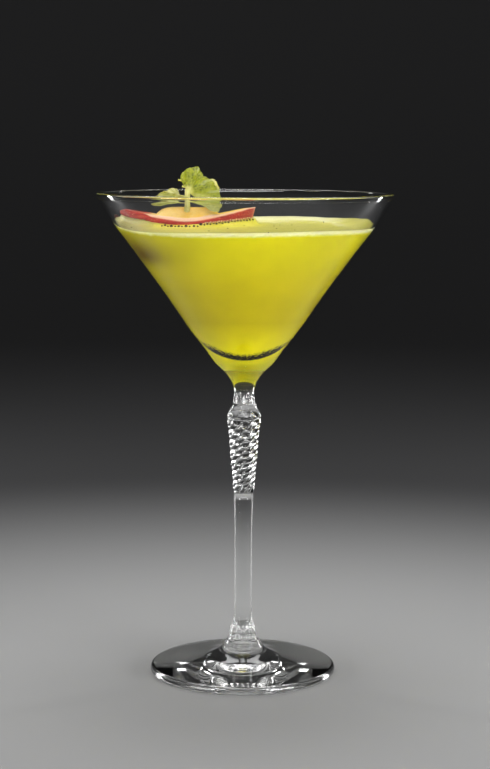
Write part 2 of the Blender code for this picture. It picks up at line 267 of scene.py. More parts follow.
# Softboxes, all turned to the middle of the glass: name, place, size and power
LIGHT_TARGET = (0, 0, 0.12)
LIGHTS = [
    ("left_strip", (-0.60, 0.42, 0.16), (0.06, 0.30), 2.0),
    ("right_strip", (0.60, 0.42, 0.16), (0.06, 0.30), 2.0),
    ("left_fill", (-0.66, -0.58, 0.13), (0.50, 0.30), 6.8),
    ("right_fill", (0.66, -0.58, 0.15), (0.50, 0.30), 10.6),
    ("front_light", (0.10, -0.80, 0.70), (1.40, 0.25), 6.0),
    ("top_light", (0.0, 0.15, 0.95), (0.4, 0.3), 3.5),
    ("rear_light", (0.0, 0.42, 0.80), (0.9, 0.14), 2.2),
]

MAX_BOUNCES = 24
GLOSSY_BOUNCES = 10


def linear(red, green, blue):
    """Linear colour of an sRGB colour given as 0 to 255."""
    shares = [value / 255 for value in (red, green, blue)]
    return tuple(s / 12.92 if s <= 0.04045 else ((s + 0.055) / 1.055) ** 2.4 for s in shares)


def smooth(points, spacing):
    """Stations at most `spacing` apart on a smooth curve through the given ones."""
    points = [np.array((*point, 0.0, 0.0, 0.0)[:5]) for point in points]
    spans = [float(np.hypot(*(b - a)[:2])) for a, b in zip(points, points[1:])]
    slopes = [(b - a) / span for a, b, span in zip(points, points[1:], spans)]
    tangents = [slopes[0]]
    for before, after, left, right in zip(slopes, slopes[1:], spans, spans[1:]):
        tangents.append((before * right + after * left) / (left + right))
    tangents.append(slopes[-1])
    curve = [points[0]]
    for i, span in enumerate(spans):
        steps = max(1, math.ceil(span / spacing))
        for step in range(1, steps + 1):
            curve.append(hermite(points[i:i + 2], tangents[i:i + 2], span, step / steps))
    return curve


def hermite(ends, tangents, span, t):
    """Point at share t of the cubic between two ends with the given tangents."""
    rise = t * t * (3 - 2 * t)
    leave = t * (1 - t) ** 2 * span
    arrive = -t * t * (1 - t) * span
    return ends[0] * (1 - rise) + ends[1] * rise + tangents[0] * leave + tangents[1] * arrive


def arc(centre, radius, start, end, steps):
    """Points on an arc of the outline, angles in degrees from the outward direction."""
    angles = [math.radians(start + (end - start) * step / steps) for step in range(steps + 1)]
    return [(centre[0] + radius * math.cos(a), centre[1] + radius * math.sin(a)) for a in angles]


def ease(value, low, high):
    """0 below low, 1 above high, and a smooth rise between."""
    share = min(max((value - low) / (high - low), 0.0), 1.0)
    return share * share * (3 - 2 * share)


def twist_angle(height):
    share = (height - TWIST_LOW) / (TWIST_HIGH - TWIST_LOW)
    return TWIST_TURN * min(max(share, 0.0), 1.0)


def ring(station, lobe_steps):
    """One ring of grid points at a station: radius, height, shares of facets, ropes and flutes."""
    radius, height, facet, rope, flute = (*station, 0.0, 0.0, 0.0)[:5]
    column = np.arange(LOBES * lobe_steps)
    offset = (column + lobe_steps // 2) % lobe_steps - lobe_steps // 2
    phase = np.abs(2 * offset / lobe_steps)
    sides = [np.cos(HALF_LOBE * (1 - phase)), np.cos(HALF_LOBE * (1 + phase))]
    rounding = sum(side ** EDGE_SHARPNESS for side in sides) ** (-1 / EDGE_SHARPNESS)
    facet_share = math.cos(HALF_LOBE) * rounding
    rope_share = 1 - ROPE_DEPTH * phase * phase
    flute_share = 1 - FLUTE_DEPTH * (1 - np.abs(np.sin(math.pi * phase)))
    change = facet * (facet_share - 1) + rope * (rope_share - 1) + flute * (flute_share - 1)
    reach = radius * (1 + change)
    angle = (column / lobe_steps + 0.5) * 2 * HALF_LOBE + twist_angle(height)
    heights = np.full(len(column), height)
    return np.column_stack((reach * np.cos(angle), reach * np.sin(angle), heights))


def add_mesh(name, vertices, faces, materials, sharp=None):
    mesh = bpy.data.meshes.new(name)
    mesh.from_pydata([tuple(point) for point in vertices], [], faces)
    mesh.update()
    mesh.shade_smooth()
    if sharp:
        mesh.set_sharp_from_angle(angle=math.radians(sharp))
    for surface in materials:
        mesh.materials.append(surface)
    made = bpy.data.objects.new(name, mesh)
    bpy.context.scene.collection.objects.link(made)
    return made


def turned_faces(row_count, columns):
    """Faces of a body of rings that is closed by one point at each end."""
    faces = []
    last = row_count * columns + 1
    for column in range(columns):
        here = 1 + column
        beside = 1 + (column + 1) % columns
        faces.append((0, beside, here))
        for row in range(row_count - 1):
            lower, upper = row * columns, (row + 1) * columns
            faces.append((lower + here, lower + beside, upper + beside, upper + here))
        faces.append((last - columns - 1 + here, last - columns - 1 + beside, last))
    return faces


def place_piece(piece, node):
    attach(piece, "root")
    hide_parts(node)


# Materials


class Surface:
    """A Principled material and short ways to add nodes to it."""

    def __init__(self, name, **values):
        self.material = bpy.data.materials.new(name)
        self.material.use_nodes = True
        self.tree = self.material.node_tree
        self.shader = self.tree.nodes["Principled BSDF"]
        for socket, value in values.items():
            self.set(self.shader, socket.replace("_", " "), value)

    def set(self, node, socket, value):
        target = node.inputs[socket]
        if isinstance(value, bpy.types.NodeSocket):
            self.tree.links.new(value, target)
        else:
            target.default_value = value

    def node(self, kind, values=(), **settings):
        made = self.tree.nodes.new(kind)
        for name, value in settings.items():
            setattr(made, name, value)
        for socket, value in values:
            self.set(made, socket, value)
        return made

    def place(self):
        return self.node("ShaderNodeTexCoord").outputs["Object"]

    def part_of(self, axis):
        split = self.node("ShaderNodeSeparateXYZ", [("Vector", self.place())])
        return split.outputs[axis]

    def attribute(self, name):
        return self.node("ShaderNodeAttribute", attribute_name=name).outputs["Fac"]

    def grain(self, scale, detail=3.0, roughness=0.5, vector=None):
        values = [("Vector", vector or self.place()), ("Scale", scale), ("Detail", detail)]
        values.append(("Roughness", roughness))
        return self.node("ShaderNodeTexNoise", values).outputs["Fac"]

    def cells(self, scale, feature="F1"):
        values = [("Vector", self.place()), ("Scale", scale)]
        return self.node("ShaderNodeTexVoronoi", values, feature=feature).outputs["Distance"]

    def stretched(self, x, y, z):
        scaled = self.node("ShaderNodeMapping", [("Vector", self.place()), ("Scale", (x, y, z))])
        return scaled.outputs["Vector"]

    def math(self, operation, first, second=0.5, third=0.5):
        values = [(0, first), (1, second), (2, third)]
        return self.node("ShaderNodeMath", values, operation=operation).outputs[0]

    def between(self, value, low, high, to_low=0.0, to_high=1.0):
        values = [("Value", value), ("From Min", low), ("From Max", high)]
        values += [("To Min", to_low), ("To Max", to_high)]
        return self.node("ShaderNodeMapRange", values, interpolation_type="SMOOTHSTEP").outputs[0]

    def ramp(self, value, stops):
        made = self.node("ShaderNodeValToRGB", [("Fac", value)])
        elements = made.color_ramp.elements
        while len(elements) < len(stops):
            elements.new(0.5)
        for element, (position, colour) in zip(elements, stops):
            element.position = position
            element.color = (*colour, 1.0)
        return made.outputs["Color"]

    def mix(self, share, first, second, blend="MIX"):
        made = self.node("ShaderNodeMix", data_type="RGBA", blend_type=blend)
        self.set(made, 0, share)
        for socket, value in ((6, first), (7, second)):
            plain = isinstance(value, tuple) and len(value) == 3
            self.set(made, socket, (*value, 1.0) if plain else value)
        return made.outputs[2]

    def paint(self, colour):
        self.set(self.shader, "Base Color", colour)

    def relief(self, height, strength, distance):
        values = [("Height", height), ("Strength", strength), ("Distance", distance)]
        self.set(self.shader, "Normal", self.node("ShaderNodeBump", values).outputs["Normal"])

    def soften(self, weight, radius, scale):
        """Lets light spread under the surface."""
        self.set(self.shader, "Subsurface Weight", weight)
        self.set(self.shader, "Subsurface Radius", radius)
        self.set(self.shader, "Subsurface Scale", scale)


def glass_material():
    """Clear polished glass with the faint unevenness of blown and cut work."""
    surface = Surface("glass_clear", Roughness=0.0, IOR=1.5)
    surface.paint((0.985, 0.99, 0.985, 1.0))
    surface.set(surface.shader, "Transmission Weight", 1.0)
    surface.relief(surface.grain(45.0, 1.0), 0.05, 0.0004)
    return surface.material


def drink_material():
    """Cloudy yellow-green drink: brightest at the tip and the top, which is partly painted light,
    with painted shade at the left and low in front, and a pale line of froth.
    """
    surface = Surface("drink_cloudy", Roughness=0.3, IOR=1.34, Specular_IOR_Level=0.1)
    height = surface.part_of("Z")
    # Partly painted light: the tip and the top are painted brighter to make up for how light falls
    # in the glass
    share = surface.between(height, 0.1200, DRINK_LEVEL)
    depth = surface.ramp(share, [
        (0.0, linear(255, 245, 2)), (0.3, linear(200, 186, 0)), (0.7, linear(214, 201, 0)),
        (1.0, linear(228, 220, 2)),
    ])
    clouds = surface.between(surface.grain(55.0, 4.0), 0.3, 0.7, 0.94, 1.04)
    body = surface.mix(1.0, depth, surface.node("ShaderNodeCombineXYZ", [
        (0, clouds), (1, clouds), (2, clouds)]).outputs[0], "MULTIPLY")
    # Painted shade: the speckled dark crescent low on the front of the drink
    body = surface.mix(surface.attribute("painted_crescent"), body, linear(26, 20, 4))
    # Painted shade: the brown darkening at the left of the drink
    body = surface.mix(surface.attribute("shade"), body, linear(100, 64, 0))
    grain = surface.grain(420.0, 2.0)
    ragged = surface.math("MULTIPLY_ADD", grain, 0.9, surface.attribute("froth"))
    froth = surface.between(ragged, 0.0, 1.3)
    pale = surface.mix(surface.grain(900.0, 2.0), linear(246, 242, 150), linear(254, 252, 206))
    surface.paint(surface.mix(froth, body, pale))
    surface.soften(0.25, (1.0, 0.9, 0.15), 0.004)
    return surface.material


def froth_material():
    """Thin froth on the drink's surface: olive between fine pale bubbles."""
    surface = Surface("drink_froth", Roughness=0.3, IOR=1.34)
    near_fruit = surface.attribute("near_fruit")
    at_wall = surface.attribute("at_wall")
    patches = surface.between(surface.grain(160.0, 4.0), 0.2, 0.8)
    calm = surface.mix(patches, linear(206, 198, 58), linear(226, 218, 92))
    bright = surface.mix(patches, linear(238, 228, 40), linear(250, 242, 80))
    body = surface.mix(near_fruit, calm, bright)
    bubbles = surface.between(surface.cells(1500.0), 0.1, 0.55, 1.0, 0.0)
    left = surface.between(surface.part_of("X"), -0.044, -0.028, 0.7, 0.0)
    body = surface.mix(left, body, linear(160, 154, 106))
    speckled = surface.mix(surface.math("MULTIPLY", bubbles, 0.35), body, linear(222, 218, 140))
    surface.paint(surface.mix(at_wall, speckled, linear(235, 231, 160)))
    surface.relief(bubbles, 0.25, 0.0002)
    surface.soften(0.2, (1.0, 0.9, 0.3), 0.002)
    return surface.material


def fruit_material():
    """Red skin with pale speckles and streaks, a pink-white cut edge, and cream to orange flesh."""
    surface = Surface("fruit_skin_and_flesh", Roughness=0.42, IOR=1.4, Specular_IOR_Level=0.2)
    skin_share = surface.attribute("skin")
    edge_share = surface.attribute("edge")
    along = surface.part_of("X")
    streaks = surface.grain(1.0, 4.0, 0.6, surface.stretched(180.0, 180.0, 900.0))
    red = surface.ramp(streaks, [
        (0.25, linear(140, 22, 12)), (0.5, linear(184, 42, 24)), (0.75, linear(210, 84, 52)),
    ])
    tip_share = surface.between(along, -0.0460, -0.0400, 0.55, 0.0)
    red = surface.mix(tip_share, red, linear(150, 22, 14))
    dots = surface.between(surface.cells(900.0), 0.12, 0.3, 1.0, 0.0)
    dotted = surface.math("MULTIPLY_ADD", tip_share, 0.6, 0.3)
    red = surface.mix(surface.math("MULTIPLY", dots, dotted), red, linear(240, 160, 120))
    left_to_right = surface.between(along, -0.036, -0.010)
    # Partly the flesh's own tone, partly painted light: the right end is painted brighter to make
    # up for the leaf's shadow there
    flesh = surface.ramp(left_to_right, [
        (0.0, linear(240, 202, 112)), (0.5, linear(220, 168, 34)), (1.0, linear(255, 200, 30)),
    ])
    fibres = surface.between(surface.grain(1.0, 3.0, 0.6, surface.stretched(300.0, 300.0, 120.0)),
                             0.3, 0.7, 0.0, 0.3)
    flesh = surface.mix(fibres, flesh, linear(250, 218, 140))
    inside = surface.mix(edge_share, flesh, linear(250, 204, 172))
    surface.paint(surface.mix(skin_share, inside, red))
    surface.relief(streaks, 0.15, 0.0003)
    surface.soften(0.35, (1.0, 0.6, 0.3), 0.0015)
    return surface.material


def mint_material():
    """Light green leaf, paler along its veins, with a painted highlight on its curled edge and
    painted light on its lower lobe, on a pale stem.
    """
    surface = Surface("mint_leaf", Roughness=0.42, IOR=1.4)
    vein = surface.attribute("vein")
    pale = surface.attribute("pale")
    patches = surface.between(surface.grain(320.0, 4.0), 0.3, 0.7)
    blade = surface.mix(patches, linear(84, 96, 6), linear(120, 128, 12))
    veined = surface.mix(surface.math("MULTIPLY", vein, 0.65), blade, linear(164, 166, 44))
    light = surface.mix(patches, linear(188, 180, 88), linear(214, 210, 142))
    # The pale share holds the stem's and leaf base's own paleness and the leaves' painted highlight
    # and painted light
    surface.paint(surface.mix(pale, veined, light))
    surface.relief(surface.grain(1400.0, 3.0), 0.2, 0.0001)
    surface.soften(0.35, (0.8, 1.0, 0.3), 0.0006)
    return surface.material


def bubble_material(name, colour):
    surface = Surface(name, Roughness=0.25, IOR=1.34)
    surface.paint((*colour, 1.0))
    return surface.material


# Glass


def foot_outline():
    """Dished underside, flat resting ring, round edge and the domed top."""
    dish = []
    for step in range(1, FOOT_DISH_STEPS):
        share = step / FOOT_DISH_STEPS
        dish.append((FOOT_REST_INSIDE * share, FOOT_HOLLOW * (1 - share * share) ** 2))
    half_edge = FOOT_EDGE / 2
    edge = arc((FOOT_RADIUS - half_edge, half_edge), half_edge, -90, 90, FOOT_EDGE_STEPS)
    top = smooth(FOOT_TOP[:3], DOME_SPACING)[1:] + smooth(FOOT_TOP[2:], FLARE_SPACING)[1:-1]
    return dish + [(FOOT_REST_INSIDE, 0.0)] + edge + top


def stem_outline():
    stations = []
    for stretch in STEM:
        long = stretch[-1][1] - stretch[0][1] > SHAFT_LENGTH
        stations += smooth(stretch, SHAFT_SPACING if long else STEM_SPACING)
    return stations


def cavity_outline(clearance, top):
    """Inside of the bowl from its floor up to a height, less a clearance."""
    across = WALL_ACROSS + clearance * ACROSS_PER_CLEARANCE
    outside = [station for station in smooth(BOWL, BOWL_SPACING) if station[1] >= CONE_LOW - 1e-6]
    start = (outside[0][0] - WALL_ACROSS, outside[0][1])
    floor = smooth([(FLOOR_START, FLOOR_HEIGHT)] + BOWL_FLOOR + [start], FLOOR_SPACING)[:-1]
    floor = [(station[0] - clearance, station[1] + clearance) for station in floor]
    below = [station for station in outside if station[1] < top - TOP_MARGIN]
    cone = [(station[0] - across, station[1]) for station in below]
    return floor + cone + [(cone_radius(top) - across, top)]


def cone_radius(height):
    """Outer radius of the bowl at a height."""
    outside = smooth(BOWL, BOWL_SPACING)
    return float(np.interp(height, [s[1] for s in outside], [s[0] for s in outside]))


def lip_outline():
    """Rounded lip that joins the outside of the bowl to its inside."""
    inside, outside = BOWL[-1][0] - WALL_ACROSS, BOWL[-1][0]
    centre = ((inside + outside) / 2 + LIP_OUTWARD, GLASS_HEIGHT - WALL_ACROSS / 2)
    return arc(centre, WALL_ACROSS / 2, 0, 180, LIP_STEPS)


def fine_rings(station):
    """Station of the flare above the foot with the fine turned rings there."""
    within = ease(station[1], RINGS_LOW, RINGS_LOW + RINGS_FADE)
    within *= 1 - ease(station[1], RINGS_HIGH, RINGS_HIGH + RINGS_FADE)
    wave = math.cos(2 * math.pi * (station[1] - RINGS_LOW) / RING_PITCH)
    return (station[0] + RING_DEPTH * within * wave, *station[1:])


def build_glass():
    outside = foot_outline() + stem_outline() + smooth(BOWL, BOWL_SPACING)[1:] + lip_outline()
    outside = [fine_rings(station) for station in outside]
    inside = cavity_outline(0.0, BOWL[-1][1])[:-1]
    stations = outside + inside[::-1]
    rings = [ring(station, GLASS_LOBE_STEPS) for station in stations]
    vertices = np.vstack([[(0, 0, FOOT_HOLLOW)]] + rings + [[(0, 0, FLOOR_HEIGHT)]])
    faces = turned_faces(len(rings), LOBES * GLASS_LOBE_STEPS)
    piece = add_mesh("clear_glass", vertices, faces, [glass_material()])
    place_piece(piece, "glass")


# Drink


def between(values, place):
    """Value at a place of -1 to 1 from those at the left end, the middle and the right end."""
    side = -1 if place < 0 else 1
    soft = 0.25
    share = (math.hypot(place, soft) - soft) / (math.hypot(1, soft) - soft)
    return values[0] + (values[side] - values[0]) * share


def slice_edges(place):
    """Front and back of the slice at a place of -1 to 1 along its length."""
    side = -1 if place < 0 else 1
    share = 1 - math.sqrt(1 - (SLICE_ROUNDNESS * place) ** 2)
    share /= 1 - math.sqrt(1 - SLICE_ROUNDNESS ** 2)
    front = SLICE_MIDDLE.y + SLICE_SETBACK[side] * share
    chord = [SLICE_MIDDLE.y + SLICE_SETBACK[end] + SLICE_TIP_WIDTH for end in (-1, 1)]
    back = chord[0] + (chord[1] - chord[0]) * (place + 1) / 2
    return front, back + 0.002 * (1 - place * place)


def fruit_distance(x, y):
    """Place along the slice and how far a point of the surface lies outside the slice."""
    place = (x - SLICE_MIDDLE.x) / SLICE_HALF_LENGTH
    held = min(max(place, -1.0), 1.0)
    front, back = slice_edges(held)
    aside = abs(place - held) * SLICE_HALF_LENGTH * (3.0 if place > 1 else 1.0)
    outside = max(front - y, y - back, 0.0)
    return held, math.hypot(aside, outside)


def wall_climb(angle):
    """How far the froth climbs the wall: a little at the front, more at the back."""
    across, deep = math.cos(angle) * CLIMB_RAGGED_SCALE, math.sin(angle) * CLIMB_RAGGED_SCALE
    ragged = noise.noise(Vector((across, deep, 4.0)))
    climb = float(np.interp(math.degrees(angle), *zip(*WALL_CLIMB)))
    return climb + CLIMB_RAGGED * ragged * ease(math.sin(angle), -0.3, 0.8)


def froth_band(x):
    """Depth of the pale line of froth at the wall: thin at the left."""
    return BAND_AT_LEFT + BAND_MORE * ease(x, BAND_FROM, BAND_TO)


def painted_wall_shade(x, y, z):
    """Painted shade: a soft brown darkening in the drink at the left, below the slice's tip."""
    angle = math.degrees(math.atan2(y, x)) % 360
    aside = (angle - SHADE_ANGLE) / SHADE_ANGLE_SPREAD
    off = (z - SHADE_HEIGHT) / (SHADE_BELOW if z < SHADE_HEIGHT else SHADE_ABOVE)
    return SHADE_SHARE * math.exp(-aside ** 2 - off ** 2)


def surface_height(x, y, from_wall):
    """Height of the drink's surface: froth climbs the wall and gathers round the slice."""
    held, away = fruit_distance(x, y)
    lift = float(np.interp(held, *zip(*FROTH_EDGE))) - SURFACE_LEVEL
    gathered = lift * math.exp(-(away / FROTH_FALL) ** FROTH_FALL_POWER)
    angle = math.atan2(y, x)
    climb = DRINK_LEVEL - SURFACE_LEVEL + wall_climb(angle)
    at_back, at_left = ease(math.sin(angle), 0.0, 0.6), ease(-math.cos(angle), 0.90, 0.98)
    reach = CLIMB_REACH + CLIMB_REACH_MORE * max(at_back, at_left)
    ripple = RIPPLE_HEIGHT * noise.noise(Vector((x * RIPPLE_SCALE, y * RIPPLE_SCALE, 0.5)))
    ripple *= ease(from_wall, 0.0, RIPPLE_FROM_WALL)
    climb *= math.exp(-from_wall / reach)
    return SURFACE_LEVEL + (math.hypot(gathered, climb) if climb > 0 else gathered + climb) + ripple


def refined(stations, parts):
    """Stations after the first, with each stretch split evenly in parts."""
    finer = []
    for a, b in zip(stations, stations[1:]):
        for part in range(1, parts + 1):
            finer.append(tuple(a[i] + (b[i] - a[i]) * part / parts for i in range(2)))
    return finer


def build_drink():
    columns = LOBES * DRINK_LOBE_STEPS
    outline = cavity_outline(-INTO_WALL, DRINK_WALL_TOP)
    low = [station for station in outline if station[1] < CRESCENT_TOP]
    outline = low[:1] + refined(low, CRESCENT_ROWS) + outline[len(low):]
    rings = [ring(station, DRINK_LOBE_STEPS) for station in outline]
    wall_rows = len(rings)
    angles = np.arctan2(rings[-1][:, 1], rings[-1][:, 0])
    tops = [DRINK_LEVEL + wall_climb(angle) for angle in angles]
    rim = [cone_radius(top) - WALL_ACROSS + INTO_WALL for top in tops]
    around = zip(rim, angles, tops)
    rings.append(np.array([(r * math.cos(a), r * math.sin(a), top) for r, a, top in around]))
    for step in range(1, SURFACE_STEPS):
        share = (1 - step / SURFACE_STEPS) ** SURFACE_CROWDING
        points = []
        for edge, angle in zip(rim, angles):
            x, y = edge * share * math.cos(angle), edge * share * math.sin(angle)
            points.append((x, y, surface_height(x, y, edge * (1 - share))))
        rings.append(np.array(points))
    low = (0, 0, outline[0][1])
    vertices = np.vstack([[low]] + rings + [[(0, 0, surface_height(0, 0, rim[0]))]])
    faces = turned_faces(len(rings), columns)
    piece = add_mesh("cloudy_drink", vertices, faces, [drink_material(), froth_material()])
    paint_surface(piece.data, vertices, wall_rows * columns)
    add_shares(piece.data, "painted_crescent", [painted_crescent_share(*vertex) for vertex in vertices])
    add_shares(piece.data, "shade", [painted_wall_shade(*vertex) for vertex in vertices])
    add_shares(piece.data, "froth", [froth_share(*vertex) for vertex in vertices])
    place_piece(piece, "drink")


def froth_share(x, y, z):
    """Height in millimetres over the lower edge of the pale line of froth."""
    return 1000 * (z - DRINK_LEVEL - wall_climb(math.atan2(y, x)) + froth_band(x))


def painted_crescent_share(x, y, z):
    """How strongly the painted dark crescent lies at a point: speckled painted shade low on the
    front of the drink.
    """
    if z > CRESCENT_TOP:
        return 0.0
    across = x * 1000
    level, square, fourth = CRESCENT_CURVE
    middle = (level + square * across ** 2 + fourth * across ** 4) / 1000
    fade = 1 - ease(abs(across), *CRESCENT_FADE)
    half = CRESCENT_HALF + CRESCENT_HALF * fade
    speckle = noise.noise(Vector((x, y, z)) * SPECK_SCALE)
    ragged = y + 0.0012 * speckle
    start = ease(ragged, middle - half * 1.8, middle - half * 0.5)
    end = 1 - ease(y + 0.0003 * speckle, middle + half * 0.6, middle + half)
    return min(start * end * (0.5 + 0.5 * fade) * (1.1 + 0.5 * speckle), 1.0)


def paint_surface(mesh, vertices, wall_count):
    """Froth on the faces above the wall, and how near each point is to fruit and wall."""
    near_fruit = mesh.attributes.new("near_fruit", "FLOAT", "POINT")
    at_wall = mesh.attributes.new("at_wall", "FLOAT", "POINT")
    edge = cone_radius(DRINK_LEVEL) - WALL_ACROSS
    for i, (x, y, _) in enumerate(vertices):
        away = fruit_distance(x, y)[1]
        bright = math.exp(-(away / BRIGHT_REACH) ** 2)
        near_fruit.data[i].value = bright if x > BRIGHT_FROM else BRIGHT_AT_LEFT
        width = PALE_WIDTH + PALE_WIDTH_MORE * ease(y, 0.0, PALE_WIDENS_TO)
        fading = 1 - 0.9 * ease(x, PALE_FADES_FROM, PALE_FADES_TO)
        at_wall.data[i].value = fading * (1 - ease(edge - math.hypot(x, y), PALE_START, width))
    for face in mesh.polygons:
        face.material_index = 1 if min(face.vertices) > wall_count else 0


def froth_height(x, y):
    return surface_height(x, y, max(INNER_RADIUS - math.hypot(x, y), 0.0))


def bubble_depth(x, height):
    """Depth, in front of the slice, at which the froth's slope has a height."""
    front = slice_edges((x - SLICE_MIDDLE.x) / SLICE_HALF_LENGTH)[0]
    depth = front - 0.0004
    while froth_height(x, depth) > height and depth > front - 0.0040:
        depth -= 0.0001
    return depth


def build_bubbles():
    """Dark bubbles in a row along the slice's front edge, and a few scattered on the froth."""
    draw = random.Random(7)
    loose, rows, sizes = [], [], []
    x, step = BUBBLE_ROW[0][0], 0
    while x < BUBBLE_ROW[-1][0]:
        sparse = x < SPARSE_UP_TO
        size = SPARSE_SIZES[step % 4] if sparse else draw.uniform(*DENSE_SIZES)
        spread = draw.uniform(*BUBBLE_SPREAD)
        height = float(np.interp(x, *zip(*BUBBLE_ROW))) + spread * (step % 2 * 2 - 1)
        y = bubble_depth(x, height)
        rows.append(Vector((x, y, froth_height(x, y) + 0.3 * size)))
        sizes.append(size)
        x += draw.uniform(*SPARSE_STEP) + 0.5 * size if sparse else draw.uniform(*DENSE_STEP)
        step += 1
    for _ in range(LOOSE_BUBBLES):
        angle, share = draw.uniform(0, 2 * math.pi), draw.random() ** 0.4
        x, y = LOOSE_RADIUS * share * math.cos(angle), LOOSE_RADIUS * share * math.sin(angle)
        if fruit_distance(x, y)[1] > 0.002:
            loose.append((x, y, draw.uniform(*LOOSE_SIZES)))
    vertices, faces = [], []
    for centre, size in zip(rows, sizes):
        add_ball(vertices, faces, centre, size)
    for x, y, size in loose:
        centre = Vector((x, y, froth_height(x, y) + size * 0.4))
        add_ball(vertices, faces, centre, size)
    add_froth("froth_bubbles", vertices, faces, linear(52, 38, 4))
    build_beads(draw)


def build_beads(draw):
    """Tiny pale beads of froth between the dark bubbles and the slice."""
    vertices, faces = [], []
    x = BEADS_FROM
    while x < BUBBLE_ROW[-1][0]:
        size = draw.uniform(*BEAD_SIZES)
        height = float(np.interp(x, *zip(*BUBBLE_ROW))) + draw.uniform(*BEAD_RISE)
        add_ball(vertices, faces, Vector((x, bubble_depth(x, height) - 0.0003, height)), size)
        x += draw.uniform(*BEAD_STEP)
    add_froth("froth_beads", vertices, faces, linear(250, 240, 176))


def add_froth(name, vertices, faces, colour):
    piece = add_mesh(name, vertices, faces, [bubble_material(name, colour)])
    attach(piece, "root")


def add_ball(vertices, faces, centre, radius, sides=10, rows=6):
    """A small closed ball of rings, added to lists of vertices and faces."""
    first = len(vertices)
    vertices.append(centre - Vector((0, 0, radius)))
    for row in range(1, rows):
        polar = math.pi * row / rows - math.pi / 2
        for side in range(sides):
            turn = 2 * math.pi * side / sides
            flat = radius * math.cos(polar)
            spot = Vector((flat * math.cos(turn), flat * math.sin(turn), radius * math.sin(polar)))
            vertices.append(centre + spot)
    vertices.append(centre + Vector((0, 0, radius)))
    faces.extend(tuple(first + i for i in face) for face in turned_faces(rows - 1, sides))


# Fruit slice


def slice_section(place):
    """Closed section of the slice with, for each point, how much is skin and how much cut edge."""
    x = SLICE_MIDDLE.x + SLICE_HALF_LENGTH * place
    front, back = slice_edges(place)
    tip = ease(-place, 0.88, 1.0)
    top = between(EDGE_HEIGHT, place) - 0.0009 * tip * tip
    under = between(UNDERSIDE_HEIGHT, place) + 0.0005 * tip * tip
    from_middle = min(abs(x - SLICE_MIDDLE.x) / FLESH_HALF_LENGTH, 1.0)
    swell = FLESH_SWELL * (1 - from_middle ** 3) ** 0.8
    shoulder = top - EDGE_ROUND
    skin_top = top - 0.0003 - 0.0006 * (1 - place * place) ** 2
    skin_top += 0.0008 * (1 - ease(place, -0.65, -0.5))
    points = []
    for step in range(FRONT_STEPS):
        share = step / FRONT_STEPS
        bulge = 0.0016 * share * (1 - share)
        y = front + EDGE_ROUND * (1 - share) ** 3 - bulge
        z = under + (shoulder - under) * share
        points.append((y, z, 1 - ease(z, skin_top - 0.0005, skin_top + 0.0002), 1.0))
    for step in range(ROUND_STEPS):
        turn = math.pi / 2 * step / (ROUND_STEPS - 1)
        y = front + EDGE_ROUND * (1 - math.cos(turn))
        z = shoulder + EDGE_ROUND * math.sin(turn)
        points.append((y, z, 1 - ease(z, skin_top - 0.0005, skin_top + 0.0002), 1.0))
    inner = back - front - 2 * EDGE_ROUND
    edge_width = 0.0004 + 0.0018 * ease(place, 0.1, 0.5)
    curled = 0.95 * (1 - ease(place, -0.60, -0.48))
    for step in range(1, TOP_STEPS):
        share = step / TOP_STEPS
        lift = swell * math.sin(math.pi * share) ** 0.9
        edge = 1.0 - ease(share * inner, 0.0001, edge_width)
        points.append((front + EDGE_ROUND + inner * share, top + lift, curled, edge))
    for step in range(ROUND_STEPS):
        share = step / (ROUND_STEPS - 1)
        z = top - BACK_DROP + (under + EDGE_ROUND - top + BACK_DROP) * share
        points.append((back - EDGE_ROUND + EDGE_ROUND * math.sin(math.pi * share), z, 0.0, 0.4))
    for step in range(UNDER_STEPS):
        share = 1 - step / UNDER_STEPS
        points.append((front + EDGE_ROUND + inner * share, under, 0.0 if share > 0.3 else 1.0, 0.3))
    return x, points


def build_fruit():
    vertices, skin, edge = [], [], []
    for station in range(SLICE_STATIONS + 1):
        place = 2 * station / SLICE_STATIONS - 1
        x, points = slice_section(place)
        low, high = (extreme(point[1] for point in points) for extreme in (min, max))
        for y, z, skin_share, edge_share in points:
            wobble = 0.00012 * noise.noise(Vector((x * 300, y * 300, z * 300)))
            slanted = END_SLANT * ease(place, 0.6, 1.0) * (high - z) / (high - low)
            vertices.append((x - slanted, y + wobble, z + wobble))
            cut_end = ease(x, SLICE_END, SLICE_END + 0.0004) * 0.15
            skin.append(skin_share * (1 - cut_end))
            edge.append(max(edge_share, cut_end))
    size = len(points)
    faces = [tuple(range(size))]
    for station in range(SLICE_STATIONS):
        for i in range(size):
            here = station * size + i
            beside = station * size + (i + 1) % size
            faces.append((here, here + size, beside + size, beside))
    faces.append(tuple(reversed(range(SLICE_STATIONS * size, (SLICE_STATIONS + 1) * size))))
    piece = add_mesh("fruit_slice_detailed", vertices, faces, [fruit_material()], 50)
    add_shares(piece.data, "skin", skin)
    add_shares(piece.data, "edge", edge)
    place_piece(piece, "fruit_slice")


def add_shares(mesh, name, values):
    attribute = mesh.attributes.new(name, "FLOAT", "POINT")
    attribute.data.foreach_set("value", values)


# Mint


def reach_at(reaches, angle):
    """Reach of a leaf's outline at an angle, on a smooth curve through the named ones."""
    angles = sorted(reaches)
    for i, (low, high) in enumerate(zip(angles, angles[1:])):
        if angle <= high:
            before, after = angles[max(i - 1, 0)], angles[min(i + 2, len(angles) - 1)]
            span = high - low
            slopes = [(reaches[high] - reaches[before]) / (high - before),
                      (reaches[after] - reaches[low]) / (after - low)]
            share = max(0.0, (angle - low) / span)
            return hermite((reaches[low], reaches[high]), slopes, span, share)
    return reaches[angles[-1]]


